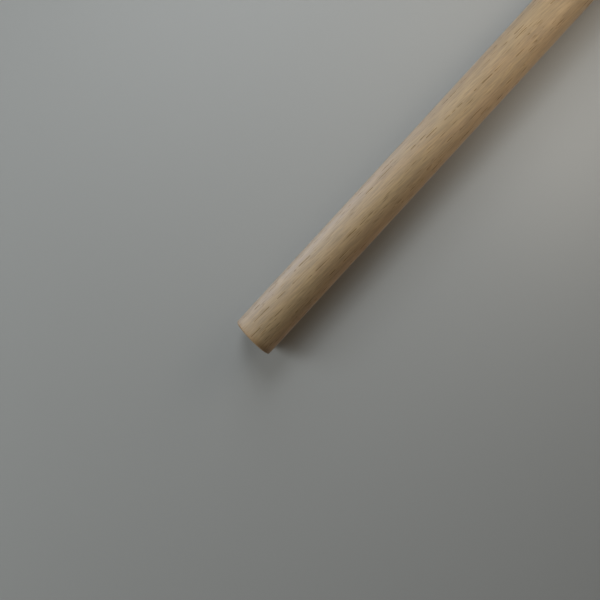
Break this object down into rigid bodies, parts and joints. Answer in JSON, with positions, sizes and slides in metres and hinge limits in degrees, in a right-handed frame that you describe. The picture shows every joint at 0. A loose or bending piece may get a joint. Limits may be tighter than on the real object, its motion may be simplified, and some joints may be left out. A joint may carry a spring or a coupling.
{
  "type": "wooden dowel rod",
  "caption": "Plain round hardwood dowel rod, sawn to length by hand with one end slightly out of square and both rims sanded, for glued sockets, axles, rails and craft frames.",
  "frame": {"origin": "centre of the lower end face, where the rod stands on end", "axes": "+Z along the rod's axis towards its upper end; +X towards the side on which the upper cut, 3 degrees out of square, is lower; Y across"},
  "size_m": [0.02, 0.02, 0.3005],
  "materials": {
    "sanded_hardwood": "bare pale hardwood, sanded smooth, unvarnished, with fine dark pore lines along the grain and a dry bloom at glancing angles"
  },
  "bodies": {
    "root": {"dowel_rod": "sanded_hardwood"}
  },
  "joints": []
}
